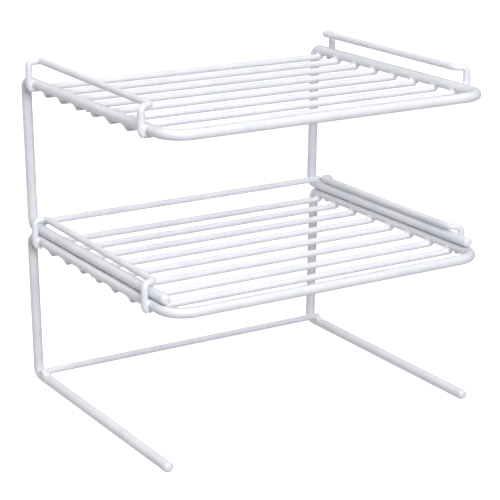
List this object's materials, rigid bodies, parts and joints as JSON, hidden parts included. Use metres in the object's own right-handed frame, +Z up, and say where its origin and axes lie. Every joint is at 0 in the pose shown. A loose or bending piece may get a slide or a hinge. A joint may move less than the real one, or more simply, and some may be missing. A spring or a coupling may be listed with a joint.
{
  "type": "stacking wire shelf riser",
  "caption": "Two stacked white-coated wire shelves for cupboard storage, each with rear legs, floor feet, cross slats and raised side guards that hold the feet of the shelf above.",
  "frame": {"origin": "on the floor, under the middle of the whole stack's bounding box", "axes": "+Z up, front rails towards -Y, legs towards +Y, +X to the right seen from the front"},
  "size_m": [0.232, 0.1924, 0.2166],
  "materials": {
    "frame_coating": "semi-gloss white coating on thick steel wire",
    "thin_wire_coating": "semi-gloss white coating on thin steel wire"
  },
  "bodies": {
    "lower_shelf": {"lower_frame_wire": "frame_coating", "lower_slat_1": "thin_wire_coating", "lower_slat_2": "thin_wire_coating", "lower_slat_3": "thin_wire_coating", "lower_slat_4": "thin_wire_coating", "lower_slat_5": "thin_wire_coating", "lower_slat_6": "thin_wire_coating", "lower_slat_7": "thin_wire_coating", "lower_slat_8": "thin_wire_coating", "lower_rear_brace_wire": "thin_wire_coating", "lower_left_guard_wire": "thin_wire_coating", "lower_right_guard_wire": "thin_wire_coating"},
    "upper_shelf": {"upper_frame_wire": "frame_coating", "upper_slat_1": "thin_wire_coating", "upper_slat_2": "thin_wire_coating", "upper_slat_3": "thin_wire_coating", "upper_slat_4": "thin_wire_coating", "upper_slat_5": "thin_wire_coating", "upper_slat_6": "thin_wire_coating", "upper_slat_7": "thin_wire_coating", "upper_slat_8": "thin_wire_coating", "upper_rear_brace_wire": "thin_wire_coating", "upper_left_guard_wire": "thin_wire_coating", "upper_right_guard_wire": "thin_wire_coating"}
  },
  "joints": [
    {"name": "upper_shelf_slide", "type": "slide", "parent": "lower_shelf", "child": "upper_shelf", "axis": [0, 1, 0], "range_m": [-0.0015, 0.18]}
  ]
}
